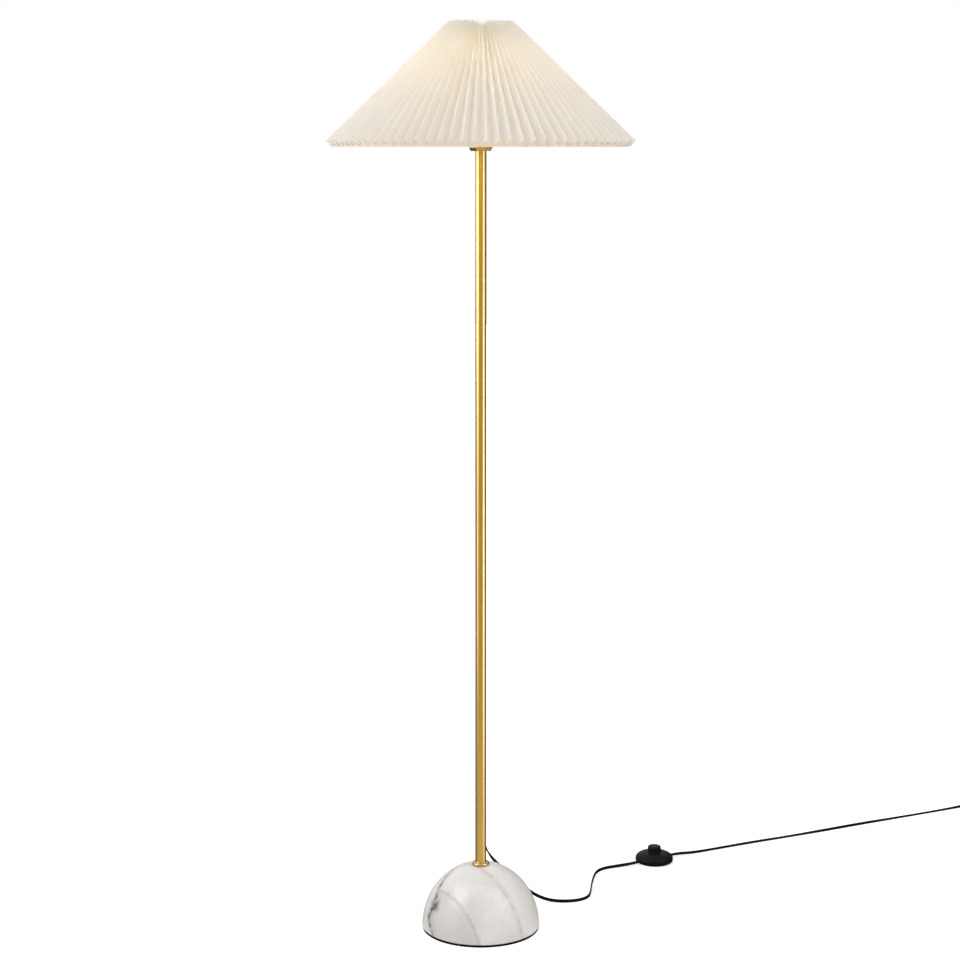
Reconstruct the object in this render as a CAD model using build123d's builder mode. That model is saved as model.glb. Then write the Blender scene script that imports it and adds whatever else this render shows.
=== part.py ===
from build123d import *
from math import acos, cos, degrees, hypot, pi, radians, sin, sqrt, tan
import os

os.makedirs("parts", exist_ok=True)

# A floor lamp: stone dome foot, brass pole of three tubes, pleated cone shade, corded foot switch.
# Millimetres, +Z up, origin on the floor under the middle of the foot, the cord leaves at the rear (+Y).

# Foot
pad_inset = 1.0
pad_thickness = 3.6
pad_edge_round = 0.3
dome_radius = 97.0
dome_height = 105.5
dome_edge_round = 2.0
seat_radius = 18.0
recess_radius = 22.0
recess_depth = 16.0

# Threaded hardware, all on one lamp thread
thread_radius = 5.0
thread_bore_radius = 3.8
thread_fit = 0.05
stone_clearance = 1.0
washer_radius = 20.0
washer_thickness = 2.5
base_nut_flats = 17.0
base_nut_height = 8.0
rod_tail = 2.0
bush_length = 14.0
bush_inset = 0.5
nipple_length = 24.0
socket_nut_flats = 14.0
socket_nut_height = 4.0

# Pole
tube_radius = 9.0
tube_wall = 1.2
tube_length = 388.0
seam_chamfer = 0.3
collar_radius = 14.7
collar_height = 6.3
collar_floor = 2.79
collar_lip = 0.6
bead_height = 4.8
bead_bulge = 1.3

# Lampholder and its eight-sided cup
cup_sides = 8
cup_radius = 18.35
cup_wall = 1.0
cup_height = 34.0
cup_chamfer = 2.35
cup_chamfer_height = 5.0
cup_fit = 0.3
flange_thickness = 2.5
skirt_radius = 16.65
skirt_height = 15.5
socket_base_height = 7.7
shell_wall_thickness = 0.5
shell_height = 28.0
shell_fit = 0.1
neck_clearance = 2.0
centre_contact_radius = 7.0
centre_contact_thickness = 0.8
centre_contact_height = 2.6
centre_contact_tip = 3.0
nipple_grip = 5.0

# Light bulb
cap_radius = 13.1
cap_length = 22.0
cap_fit = 0.15
insulator_height = 2.8
bulb_contact_radius = 4.7
bulb_contact_height = 0.7
globe_radius = 30.0
globe_rise = 47.0
bulb_neck_radius = 12.8
bulb_neck_length = 7.0
bulb_wall = 1.0

# Shade: one strip in straight pleats, both edges cut square to the folds
pleat_count = 84
rim_radius = 242.4
top_radius = 51.0
fold_length = 265.0
panel_width = 15.3
sheet_thickness = 0.4
wire_radius = 1.5
wire_gap = 0.3
ring_inset = 4.0
band_width = 16.0
band_thickness = 0.5
band_gap = 0.5
spoke_count = 3
spoke_drop = 29.65
spoke_gap = 0.2
fitter_radius = 23.0
fitter_thickness = 2.0
fitter_play = 0.4
running_gap = 0.05
ring_nut_radius = 21.5
ring_nut_height = 7.0
ring_nut_chamfer = 0.8

# Cord and its way out of the pole
cord_radius = 2.8
cord_fit = 0.1
corner_share = 0.45
exit_rise = 22.0
exit_hole_radius = 4.5
inner_bend = 6.0
bushing_flange_radius = 6.0
bushing_flange = 1.5
bushing_length = 20.0
bushing_root_radius = 5.0
bushing_tip_radius = 3.8
bushing_inside = 1.2

# Foot switch
switch_x = 314.8
switch_y = 322.5
switch_heading = 32.5
switch_radius = 33.9
switch_height = 18.2
switch_rim_height = 6.6
switch_crest_radius = 12.8
switch_edge_round = 5.2
casing_wall = 1.8
entry_height = 5.5
entry_clearance = 0.4
entry_grip = 3.5
entry_run = 20.0
button_radius = 11.7
button_play = 0.3
button_top = 29.4
button_round = 2.5
button_travel = 3.0
button_flange = 2.0
button_flange_thickness = 2.5
button_stop_gap = 0.3
plunger_radius = 4.5
plunger_length = 5.0
spring_radius = 2.7
spring_wire = 0.7
spring_turns = 4.0
spring_pocket_play = 0.35
spring_pin_radius = 1.9
spring_pin_height = 3.0
bridge_length = 30.0
bridge_width = 13.0
bridge_thickness = 1.0
terminal_width = 6.0
terminal_thickness = 0.8
terminal_place = 12.0
terminal_foot = 8.0
contact_gap = 0.3
boss_radius = 3.5
boss_circle = 23.5
boss_count = 3
screw_radius = 1.5
screw_head_radius = 2.8
screw_head_height = 1.0
screw_length = 9.0
screw_fit = 0.1

# Put-away length of cord and its plug
coil_radius = 31.0
coil_half_width = 3.4
coil_height = 10.5
coil_round = 2.5
coil_turns = 2.25
tie_thickness = 0.8
tie_width = 8.0
tie_fit = 0.4
tie_turn = 0.55
end_run = 24.0
end_bend = 12.0
end_rise = 1.0
plug_neck_radius = 4.2
plug_shoulder_radius = 6.2
plug_neck_length = 20.0
plug_length = 18.0
plug_width = 25.0
plug_height = 13.5
plug_round = 3.0
blade_length = 17.5
blade_height = 6.35
blade_thickness = 1.5
blade_spacing = 12.7

# Heights up the pole
seat_z = pad_thickness + dome_height * sqrt(1 - (seat_radius / dome_radius) ** 2)
lower_foot = seat_z + collar_floor
middle_foot = lower_foot + tube_length
upper_foot = middle_foot + tube_length
pole_top = upper_foot + tube_length
exit_height = lower_foot + exit_rise
tube_bore = tube_radius - tube_wall
thread_hole = thread_radius + thread_fit


def ring_on_axis(foot, height, outer, inner):
    """A plain ring or tube round the pole's axis."""
    with BuildPart() as ring:
        with BuildSketch(Plane.XY.offset(foot)):
            Circle(outer)
            Circle(inner, mode=Mode.SUBTRACT)
        extrude(amount=height)
    return ring


def hex_nut(foot, height, flats):
    """A nut for the lamp thread, on the pole's axis."""
    with BuildPart() as nut:
        with BuildSketch(Plane.XY.offset(foot)):
            RegularPolygon(flats / 2, 6, major_radius=False)
            Circle(thread_hole, mode=Mode.SUBTRACT)
        extrude(amount=height)
    return nut


def pole_tube(foot):
    """One of the three equal tubes, with a fine chamfer at each end that shows as the seam."""
    with BuildPart() as tube:
        with BuildSketch(Plane.XY.offset(foot)):
            Circle(tube_radius)
            Circle(tube_bore, mode=Mode.SUBTRACT)
        extrude(amount=tube_length)
        chamfer(tube.faces().filter_by(GeomType.CYLINDER).sort_by(SortBy.AREA)[-1].edges()
                .filter_by(GeomType.CIRCLE), seam_chamfer)
    return tube


# Foot pieces
with BuildPart() as base_pad:
    with BuildSketch():
        Circle(dome_radius - pad_inset)
    extrude(amount=pad_thickness)
    fillet(base_pad.faces().sort_by(Axis.Z)[0].edges(), pad_edge_round)

dome_arc = degrees(acos(seat_radius / dome_radius))
with BuildPart() as marble_base:
    with BuildSketch(Plane.XZ):
        with BuildLine():
            dome = EllipticalCenterArc((0, pad_thickness), dome_radius, dome_height, 0, arc_size=dome_arc)
            Polyline(dome @ 1, (0, seat_z), (0, pad_thickness), dome @ 0)
        make_face()
    revolve(axis=Axis.Z)
    fillet(marble_base.edges().filter_by(GeomType.CIRCLE).sort_by(Axis.Z)[0], dome_edge_round)
    with Locations(Plane((0, 0, pad_thickness), z_dir=(0, 0, -1))):
        CounterBoreHole(thread_radius + stone_clearance, recess_radius, recess_depth)

washer_foot = pad_thickness + recess_depth - washer_thickness
base_nut_foot = washer_foot - base_nut_height
rod_foot = base_nut_foot - rod_tail
rod_top = lower_foot + bush_inset + bush_length
base_washer = ring_on_axis(washer_foot, washer_thickness, washer_radius, thread_hole)
base_nut = hex_nut(base_nut_foot, base_nut_height, base_nut_flats)
with BuildPart() as tie_rod:
    with BuildSketch(Plane.XY.offset(rod_foot)):
        Circle(thread_radius)
    extrude(amount=rod_top - rod_foot)

collar_bore = tube_radius + thread_fit
bead_top = seat_z + bead_height
collar_top = seat_z + collar_height
with BuildPart() as base_collar:
    with BuildSketch(Plane.XZ):
        with BuildLine():
            bead = ThreePointArc(
                (collar_radius - bead_bulge, seat_z),
                (collar_radius, seat_z + bead_height / 2),
                (collar_radius - bead_bulge, bead_top),
            )
            neck = EllipticalCenterArc(
                (collar_radius - bead_bulge, collar_top),
                collar_radius - bead_bulge - collar_bore - collar_lip,
                collar_top - bead_top,
                270,
                arc_size=-90,
            )
            Polyline(
                neck @ 1,
                (collar_bore, collar_top),
                (collar_bore, lower_foot),
                (thread_hole, lower_foot),
                (thread_hole, seat_z),
                bead @ 0,
            )
        make_face()
    revolve(axis=Axis.Z)

# Pole pieces
lower_blank = pole_tube(lower_foot)
with BuildPart() as lower_tube:
    add(lower_blank.part)
    with Locations(Plane((0, tube_radius, exit_height), z_dir=(0, 1, 0))):
        Hole(exit_hole_radius, depth=tube_radius)
middle_tube = pole_tube(middle_foot)
upper_tube = pole_tube(upper_foot)

with BuildPart() as tube_bushes:
    for foot in (lower_foot, middle_foot, upper_foot):
        for bush_foot in (foot + bush_inset, foot + tube_length - bush_inset - bush_length):
            with BuildSketch(Plane.XY.offset(bush_foot)):
                Circle(tube_bore - thread_fit)
                Circle(thread_hole, mode=Mode.SUBTRACT)
            extrude(amount=bush_length)

with BuildPart() as joint_nipples:
    for seam in (middle_foot, upper_foot):
        with BuildSketch(Plane.XY.offset(seam - nipple_length / 2)):
            Circle(thread_radius)
            Circle(thread_bore_radius, mode=Mode.SUBTRACT)
        extrude(amount=nipple_length)

# Lampholder, from the pole's top upwards
cup_floor = pole_top + cup_wall
socket_foot = cup_floor + socket_nut_height
cup_top = pole_top + cup_height
flange_top = cup_top + flange_thickness
skirt_top = flange_top + skirt_height
cavity_floor = socket_foot + socket_base_height
cavity_radius = cap_radius + cap_fit + shell_wall_thickness + shell_fit
nipple_foot = pole_top - bush_inset - bush_length

socket_nipple = ring_on_axis(
    nipple_foot, socket_foot + nipple_grip - nipple_foot, thread_radius, thread_bore_radius
)
socket_nut = hex_nut(cup_floor, socket_nut_height, socket_nut_flats)

cup_shoulder = pole_top + cup_chamfer_height
cup_turn = 180 / cup_sides
with BuildPart() as socket_cup:
    with BuildSketch(Plane.XY.offset(pole_top)):
        RegularPolygon(cup_radius - cup_chamfer, cup_sides, major_radius=False, rotation=cup_turn)
    with BuildSketch(Plane.XY.offset(cup_shoulder)):
        RegularPolygon(cup_radius, cup_sides, major_radius=False, rotation=cup_turn)
    loft()
    with BuildSketch(Plane.XY.offset(cup_shoulder)):
        RegularPolygon(cup_radius, cup_sides, major_radius=False, rotation=cup_turn)
    extrude(amount=cup_top - cup_shoulder)
    with BuildSketch(Plane.XZ):
        with BuildLine():
            Polyline(
                (0, pole_top),
                (thread_hole, pole_top),
                (thread_hole, cup_floor),
                (cup_radius - cup_wall - cup_chamfer, cup_floor),
                (cup_radius - cup_wall, cup_shoulder),
                (cup_radius - cup_wall, cup_top),
                (0, cup_top),
                close=True,
            )
        make_face()
    revolve(axis=Axis.Z, mode=Mode.SUBTRACT)

body_radius = cup_radius - cup_wall - cup_fit
with BuildPart() as socket_body:
    with BuildSketch(Plane.XZ):
        with BuildLine():
            Polyline(
                (thread_hole, socket_foot),
                (body_radius - cup_chamfer, socket_foot),
                (body_radius, socket_foot + cup_chamfer),
                (body_radius, cup_top),
                (cup_radius, cup_top),
                (cup_radius, flange_top),
                (skirt_radius, flange_top),
                (skirt_radius, skirt_top),
                (bulb_neck_radius + neck_clearance, skirt_top),
                (bulb_neck_radius + neck_clearance, cavity_floor + shell_height),
                (cavity_radius, cavity_floor + shell_height),
                (cavity_radius, cavity_floor),
                (thread_hole, cavity_floor),
                close=True,
            )
        make_face()
    revolve(axis=Axis.Z)

screw_shell = ring_on_axis(
    cavity_floor, shell_height, cavity_radius - shell_fit, cap_radius + cap_fit
)
with BuildPart() as centre_contact:
    with BuildSketch(Plane.XY.offset(cavity_floor)):
        Circle(centre_contact_radius)
    extrude(amount=centre_contact_thickness)
    with BuildSketch(Plane.XY.offset(cavity_floor)):
        Circle(centre_contact_tip)
    extrude(amount=centre_contact_height)

ring_nut_foot = flange_top + fitter_thickness + 2 * running_gap
ring_nut_blank = ring_on_axis(ring_nut_foot, ring_nut_height, ring_nut_radius, skirt_radius + thread_fit)
with BuildPart() as shade_ring_nut:
    add(ring_nut_blank.part)
    chamfer(shade_ring_nut.faces().sort_by(Axis.Z)[-1].outer_wire().edges(), ring_nut_chamfer)

# Light bulb, tip down in the lampholder
bulb_foot = cavity_floor + centre_contact_height + running_gap
insulator_foot = bulb_foot + bulb_contact_height
cap_foot = insulator_foot + insulator_height
cap_top = cap_foot + cap_length
globe_centre = cap_top + globe_rise
with BuildPart() as bulb_contact:
    with BuildSketch(Plane.XY.offset(bulb_foot)):
        Circle(bulb_contact_radius)
    extrude(amount=bulb_contact_height)

with BuildPart() as bulb_insulator:
    with BuildSketch(Plane.XY.offset(insulator_foot)):
        Circle(bulb_contact_radius)
    with BuildSketch(Plane.XY.offset(cap_foot)):
        Circle(cap_radius)
    loft()

with BuildPart() as bulb_cap:
    with BuildSketch(Plane.XY.offset(cap_foot)):
        Circle(cap_radius)
    extrude(amount=cap_length)

# The glass: a straight neck, a hollow curve tangent to neck and globe, and the globe, open at the foot
neck_top = cap_top + bulb_neck_length
rise = globe_centre - neck_top
hollow_radius = (rise**2 + bulb_neck_radius**2 - globe_radius**2) / (2 * (globe_radius - bulb_neck_radius))
hollow_turn = degrees(acos((bulb_neck_radius + hollow_radius) / (globe_radius + hollow_radius)))
hollow_centre = (bulb_neck_radius + hollow_radius, neck_top)
with BuildPart() as bulb_glass:
    with BuildSketch(Plane.XZ):
        with BuildLine():
            hollow = CenterArc(hollow_centre, hollow_radius, 180, arc_size=-hollow_turn)
            CenterArc((0, globe_centre), globe_radius, -hollow_turn, arc_size=90 + hollow_turn)
            lining = CenterArc(hollow_centre, hollow_radius + bulb_wall, 180, arc_size=-hollow_turn)
            CenterArc((0, globe_centre), globe_radius - bulb_wall, -hollow_turn, arc_size=90 + hollow_turn)
            Line((0, globe_centre + globe_radius), (0, globe_centre + globe_radius - bulb_wall))
            Polyline(
                hollow @ 0, (bulb_neck_radius, cap_top), (bulb_neck_radius - bulb_wall, cap_top), lining @ 0
            )
        make_face()
    revolve(axis=Axis.Z)

# Shade frame: the fitter ring rests on the lampholder's flange, spokes drop to the rim ring
fold_run = rim_radius - top_radius
fold_rise = sqrt(fold_length**2 - fold_run**2)
out_r = fold_rise / fold_length
out_z = fold_run / fold_length
half_pitch = pi / pleat_count


def pleat_depth(ridge_radius):
    """How deep the folds are, square to the slope, where the ridges are at that radius."""
    gather = 1 - cos(half_pitch)
    shift = ridge_radius * out_r * gather
    return shift + sqrt(shift**2 + panel_width**2 - 2 * ridge_radius**2 * gather)


def inner_depth(ridge_radius):
    """Depth of the sheet's inner face at a ridge: its thickness, measured square to the slope."""
    lean = sqrt(panel_width**2 - pleat_depth(ridge_radius) ** 2)
    return sheet_thickness * panel_width / lean


def behind_folds(ridge_radius, gap, along):
    """Radius and height, from a ridge end, of a point that far inside the valleys' inner folds."""
    depth = pleat_depth(ridge_radius) + inner_depth(ridge_radius) + gap
    return ridge_radius - depth * out_r - along * out_z, along * out_r - depth * out_z


# The rim ring lies inside the hem band, the top ring straight in the folds
band_back = band_gap + band_thickness
bottom_ring_radius, bottom_ring_drop = behind_folds(rim_radius, band_back + wire_gap + wire_radius, ring_inset)
top_ring_radius, top_ring_drop = behind_folds(top_radius, wire_gap + wire_radius, -ring_inset)
fitter_foot = flange_top + running_gap
fitter_middle = fitter_foot + fitter_thickness / 2
bottom_ring_z = fitter_middle - spoke_drop
rim_z = bottom_ring_z - bottom_ring_drop
top_z = rim_z + fold_rise

fitter_ring = ring_on_axis(fitter_foot, fitter_thickness, fitter_radius, skirt_radius + fitter_play)

spoke_start = fitter_radius + spoke_gap
spoke_end = bottom_ring_radius - wire_radius - spoke_gap
spoke_plane = Plane(
    (spoke_start, 0, fitter_middle),
    x_dir=(0, 1, 0),
    z_dir=(spoke_end - spoke_start, 0, -spoke_drop),
)
with BuildPart() as spoke:
    with BuildSketch(spoke_plane):
        Circle(wire_radius)
    extrude(amount=hypot(spoke_end - spoke_start, spoke_drop))
with BuildPart() as fitter_spokes:
    with PolarLocations(0, spoke_count):
        add(spoke.part)

with BuildPart() as bottom_ring:
    with Locations((0, 0, bottom_ring_z)):
        Torus(bottom_ring_radius, wire_radius)

band_corners = [
    behind_folds(rim_radius, gap, along)
    for gap, along in ((band_gap, 0), (band_gap, band_width), (band_back, band_width), (band_back, 0))
]
with BuildPart() as hem_band:
    with BuildSketch(Plane.XZ):
        with BuildLine():
            Polyline(*[(radius, rim_z + drop) for radius, drop in band_corners], close=True)
        make_face()
    revolve(axis=Axis.Z)

with BuildPart() as top_ring:
    with Locations((0, 0, top_z + top_ring_drop)):
        Torus(top_ring_radius, wire_radius)


def fold_point(ridge_radius, ridge_z, depth, angle):
    """A point of the folded sheet, a depth below the ridge line, in the upright plane at that angle."""
    radius = ridge_radius - depth * out_r
    return Vector(radius * cos(angle), radius * sin(angle), ridge_z - depth * out_z)


def panel_end(ridge_radius, ridge_z):
    """The four corners of a panel's end: ridge and valley, on the outer and then the inner face."""
    valley = pleat_depth(ridge_radius)
    skin = inner_depth(ridge_radius)
    return (
        fold_point(ridge_radius, ridge_z, 0, half_pitch),
        fold_point(ridge_radius, ridge_z, valley, 0),
        fold_point(ridge_radius, ridge_z, valley + skin, 0),
        fold_point(ridge_radius, ridge_z, skin, half_pitch),
    )


def facet(*corners):
    return Face(Wire.make_polygon(corners))


# One panel runs from a valley to a ridge. Its long faces twist, so each is two triangles.
low = panel_end(rim_radius, rim_z)
high = panel_end(top_radius, top_z)
panel_faces = [
    facet(low[0], high[0], high[1]),
    facet(low[0], high[1], low[1]),
    facet(low[3], high[3], high[2]),
    facet(low[3], high[2], low[2]),
    facet(low[0], high[0], high[3], low[3]),
    facet(low[1], high[1], high[2], low[2]),
    facet(low[0], low[1], low[2]),
    facet(low[0], low[2], low[3]),
    facet(high[0], high[1], high[2]),
    facet(high[0], high[2], high[3]),
]
panel = Solid(Shell(panel_faces))
ridge_plane = Plane((0, 0, 0), z_dir=(-sin(half_pitch), cos(half_pitch), 0))
with BuildPart() as pleat:
    add(panel)
    mirror(about=ridge_plane)
with BuildPart() as pleated_shade:
    with PolarLocations(0, pleat_count):
        add(pleat.part)

# Cord: the bushing at the rear of the lower tube and the lead inside the pole
exit_plane = Plane((0, 0, exit_height), x_dir=(1, 0, 0), z_dir=(0, 1, 0))
bushing_tip = tube_radius + bushing_length
barrel_foot = tube_bore - bushing_inside
with BuildPart() as cord_bushing:
    with BuildSketch(exit_plane):
        Circle(bushing_flange_radius)
    extrude(amount=tube_radius + bushing_flange)
    with BuildSketch(Plane.XY.offset(exit_height - bushing_flange_radius)):
        Circle(tube_radius + thread_fit)
    extrude(amount=2 * bushing_flange_radius, mode=Mode.SUBTRACT)
    with BuildSketch(exit_plane.offset(tube_radius + bushing_flange)):
        Circle(bushing_root_radius)
    with BuildSketch(exit_plane.offset(bushing_tip)):
        Circle(bushing_tip_radius)
    loft()
    with BuildSketch(exit_plane.offset(barrel_foot)):
        Circle(exit_hole_radius - cord_fit)
    extrude(amount=tube_radius + bushing_flange - barrel_foot)
    with BuildSketch(exit_plane.offset(barrel_foot)):
        Circle(cord_radius + cord_fit)
    extrude(amount=bushing_tip - barrel_foot, mode=Mode.SUBTRACT)

lead_top = cavity_floor - cord_fit
with BuildPart() as inner_lead:
    with BuildLine() as inner_route:
        FilletPolyline(
            (0, bushing_tip, exit_height), (0, 0, exit_height), (0, 0, lead_top), radius=inner_bend
        )
    with BuildSketch(Plane((0, bushing_tip, exit_height), z_dir=(0, -1, 0))):
        Circle(cord_radius)
    sweep(path=inner_route.wire())


def cord_tube(name, points):
    """A stretch of cord: straight runs, with the largest tangent arc at each corner."""
    points = [Vector(*point) for point in points]
    runs = [b - a for a, b in zip(points, points[1:])]
    radii = []
    for before, after in zip(runs, runs[1:]):
        half_turn = radians(before.get_angle(after)) / 2
        radii.append(corner_share * min(before.length, after.length) / tan(half_turn))
    with BuildPart() as tube:
        with BuildLine() as route:
            FilletPolyline(*points, radius=radii)
        with BuildSketch(Plane(points[0], z_dir=runs[0])):
            Circle(cord_radius)
        sweep(path=route.wire())
    length = route.wire().length
    print(name, "radii", [round(radius) for radius in radii])
    print(name, "length", round(length), "volume ratio", tube.part.volume / (pi * cord_radius**2 * length))
    return tube


# The foot switch lies on the floor, its length along the cord
switch_turn = radians(switch_heading)
switch_floor = Plane(
    (switch_x, switch_y, 0), x_dir=(cos(switch_turn), sin(switch_turn), 0), z_dir=(0, 0, 1)
)
switch_profile = Plane(switch_floor.origin, x_dir=switch_floor.x_dir, z_dir=-switch_floor.y_dir)
switch_axis = Axis(switch_floor.origin, (0, 0, 1))
entry_plane = Plane(
    switch_floor.origin + Vector(0, 0, entry_height), x_dir=switch_floor.y_dir, z_dir=switch_floor.x_dir
)
entry_reach = switch_radius - casing_wall - entry_grip
ceiling = switch_height - casing_wall
hole_radius = button_radius + button_play


def crown(radius, foot, crest_radius, crest):
    """The rounded shoulder of the switch's cover, from its upright rim to its flat crest."""
    return EllipticalCenterArc((crest_radius, foot), radius - crest_radius, crest - foot, 0, arc_size=90)


with BuildPart() as switch_base:
    with BuildSketch(switch_floor):
        Circle(switch_radius)
    extrude(amount=entry_height)
    fillet(switch_base.faces().sort_by(Axis.Z)[0].edges(), switch_edge_round)
    with BuildSketch(switch_floor.offset(casing_wall)):
        Circle(switch_radius - 2 * casing_wall)
    extrude(amount=entry_height - casing_wall, mode=Mode.SUBTRACT)
    with BuildSketch(switch_floor.offset(casing_wall)):
        Circle(spring_pin_radius)
    extrude(amount=spring_pin_height)
    with BuildSketch(switch_floor):
        with PolarLocations(boss_circle, boss_count, start_angle=90):
            Circle(boss_radius)
    extrude(amount=entry_height)
    with BuildSketch(switch_floor):
        with PolarLocations(boss_circle, boss_count, start_angle=90):
            Circle(screw_head_radius + screw_fit)
    extrude(amount=screw_head_height, mode=Mode.SUBTRACT)
    with BuildSketch(switch_floor):
        with PolarLocations(boss_circle, boss_count, start_angle=90):
            Circle(screw_radius + screw_fit)
    extrude(amount=entry_height, mode=Mode.SUBTRACT)
    with BuildSketch(entry_plane):
        Circle(cord_radius + entry_clearance)
    extrude(amount=switch_radius, both=True, mode=Mode.SUBTRACT)

with BuildPart() as switch_cover:
    with BuildSketch(switch_profile):
        with BuildLine():
            outer = crown(switch_radius, switch_rim_height, switch_crest_radius, switch_height)
            inner = crown(switch_radius - casing_wall, switch_rim_height, switch_crest_radius, ceiling)
            Polyline(outer @ 1, (hole_radius, switch_height), (hole_radius, ceiling), inner @ 1)
            Polyline(
                outer @ 0, (switch_radius, entry_height), (switch_radius - casing_wall, entry_height), inner @ 0
            )
        make_face()
    revolve(axis=switch_axis)
    with BuildSketch(switch_floor.offset(entry_height)):
        with PolarLocations(boss_circle, boss_count, start_angle=90):
            Circle(boss_radius)
            Circle(screw_radius + screw_fit, mode=Mode.SUBTRACT)
    extrude(until=Until.NEXT)
    with BuildSketch(entry_plane):
        Circle(cord_radius + entry_clearance)
    extrude(amount=switch_radius, both=True, mode=Mode.SUBTRACT)

flange_z = ceiling - button_stop_gap - button_flange_thickness
with BuildPart() as switch_button:
    with BuildSketch(switch_floor.offset(flange_z)):
        Circle(button_radius)
    extrude(amount=button_top - flange_z)
    fillet(switch_button.faces().sort_by(Axis.Z)[-1].edges(), button_round)
    with BuildSketch(switch_floor.offset(flange_z)):
        Circle(button_radius + button_flange)
    extrude(amount=button_flange_thickness)
    with BuildSketch(switch_floor.offset(flange_z - plunger_length)):
        Circle(plunger_radius)
        Circle(spring_radius + spring_wire / 2 + spring_pocket_play, mode=Mode.SUBTRACT)
    extrude(amount=plunger_length)

with BuildPart() as contact_bridge:
    with BuildSketch(switch_floor.offset(flange_z - bridge_thickness)):
        SlotOverall(bridge_length, bridge_width, rotation=90)
        Circle(plunger_radius + thread_fit, mode=Mode.SUBTRACT)
    extrude(amount=bridge_thickness)

terminal_top = flange_z - bridge_thickness - button_travel - contact_gap
with BuildPart() as switch_terminals:
    with BuildSketch(Plane(switch_floor.origin, x_dir=switch_floor.y_dir, z_dir=switch_floor.x_dir)):
        for side in (1, -1):
            with BuildLine():
                Polyline(
                    (side * terminal_place, casing_wall),
                    (side * (terminal_place - terminal_foot), casing_wall),
                    (side * (terminal_place - terminal_foot), casing_wall + terminal_thickness),
                    (side * (terminal_place - terminal_thickness), casing_wall + terminal_thickness),
                    (side * (terminal_place - terminal_thickness), terminal_top),
                    (side * terminal_place, terminal_top),
                    close=True,
                )
            make_face()
    extrude(amount=terminal_width / 2, both=True)

spring_length = flange_z - casing_wall
with BuildPart() as switch_spring:
    with BuildLine() as spring_line:
        Helix(
            (spring_length - spring_wire) / spring_turns,
            spring_length - spring_wire,
            spring_radius,
            center=switch_floor.origin + Vector(0, 0, casing_wall + spring_wire / 2),
        )
    spring_start = spring_line.wire() @ 0
    with BuildSketch(Plane(spring_start, x_dir=(0, 0, 1), z_dir=spring_line.wire() % 0)):
        Rectangle(spring_wire, spring_wire)
    sweep(path=spring_line.wire(), is_frenet=True)

with BuildPart() as switch_screws:
    with BuildSketch(switch_floor):
        with PolarLocations(boss_circle, boss_count, start_angle=90):
            Circle(screw_head_radius)
    extrude(amount=screw_head_height)
    with BuildSketch(switch_floor):
        with PolarLocations(boss_circle, boss_count, start_angle=90):
            Circle(screw_radius)
    extrude(amount=screw_length)

# Cord on the floor: from the bushing round to the switch, and on to the coil
lead_points = [
    (0, bushing_tip, exit_height),
    (0, 44, exit_height),
    (4, 60, 127),
    (8.5, 73, 109.5),
    (23, 84, 83),
    (53, 95, 55),
    (82, 106, 22),
    (112, 111, 5),
    (141, 109, cord_radius),
    (167, 114, cord_radius),
    (186, 130, cord_radius),
    (191.5, 160, cord_radius),
    (194.5, 195, cord_radius),
    (199.5, 229, cord_radius),
    (206.5, 261, cord_radius),
    (222, 279, cord_radius),
    (244, 288, 3.2),
    switch_floor.from_local_coords(Vector(-switch_radius - entry_run, 0, entry_height)),
    switch_floor.from_local_coords(Vector(-entry_reach, 0, entry_height)),
]
tail_points = [
    switch_floor.from_local_coords(Vector(entry_reach, 0, entry_height)),
    switch_floor.from_local_coords(Vector(switch_radius + entry_run, 0, entry_height)),
    (388, 362, cord_radius),
    (436, 386, cord_radius),
    (505, 421, cord_radius),
    (581, 456, cord_radius),
    (655, 493, cord_radius),
    (728, 531, cord_radius),
    (800, 565, cord_radius),
    (868, 598, cord_radius),
    (925, 627, cord_radius),
    (958, 645.5, cord_radius),
    (985, 660, cord_radius),
]
cord_lead = cord_tube("cord_lead", lead_points)
cord_tail = cord_tube("cord_tail", tail_points)

# The coil turns clockwise from the end of the tail, and the cord's end leaves it for the plug
tail_end = Vector(*tail_points[-1])
tail_run = (tail_end - Vector(*tail_points[-2])).normalized()
coil_middle = tail_end + Vector(tail_run.Y, -tail_run.X, 0) * coil_radius
coil_floor = tie_thickness + tie_fit / 2
coil_plane = Plane((coil_middle.X, coil_middle.Y, coil_floor), x_dir=tail_run, z_dir=(0, 0, 1))
with BuildPart() as cord_coil:
    with BuildSketch(coil_plane):
        Circle(coil_radius + coil_half_width)
        Circle(coil_radius - coil_half_width, mode=Mode.SUBTRACT)
    extrude(amount=coil_height)
    fillet(cord_coil.edges(), coil_round)

tie_frame = Plane((coil_middle.X, coil_middle.Y, coil_floor + coil_height / 2), x_dir=tail_run, z_dir=(0, 0, 1))
tie_angle = pi / 2 - 2 * pi * tie_turn
tie_radial = tie_frame.x_dir * cos(tie_angle) + tie_frame.y_dir * sin(tie_angle)
with BuildPart() as coil_tie:
    with BuildSketch(Plane(tie_frame.origin + tie_radial * coil_radius, x_dir=tie_radial,
                           z_dir=tie_radial.cross(Vector(0, 0, 1)))):
        Rectangle(2 * (coil_half_width + tie_fit + tie_thickness), coil_height + tie_fit + 2 * tie_thickness)
        Rectangle(2 * (coil_half_width + tie_fit), coil_height + tie_fit, mode=Mode.SUBTRACT)
    extrude(amount=tie_width / 2, both=True)

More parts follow.
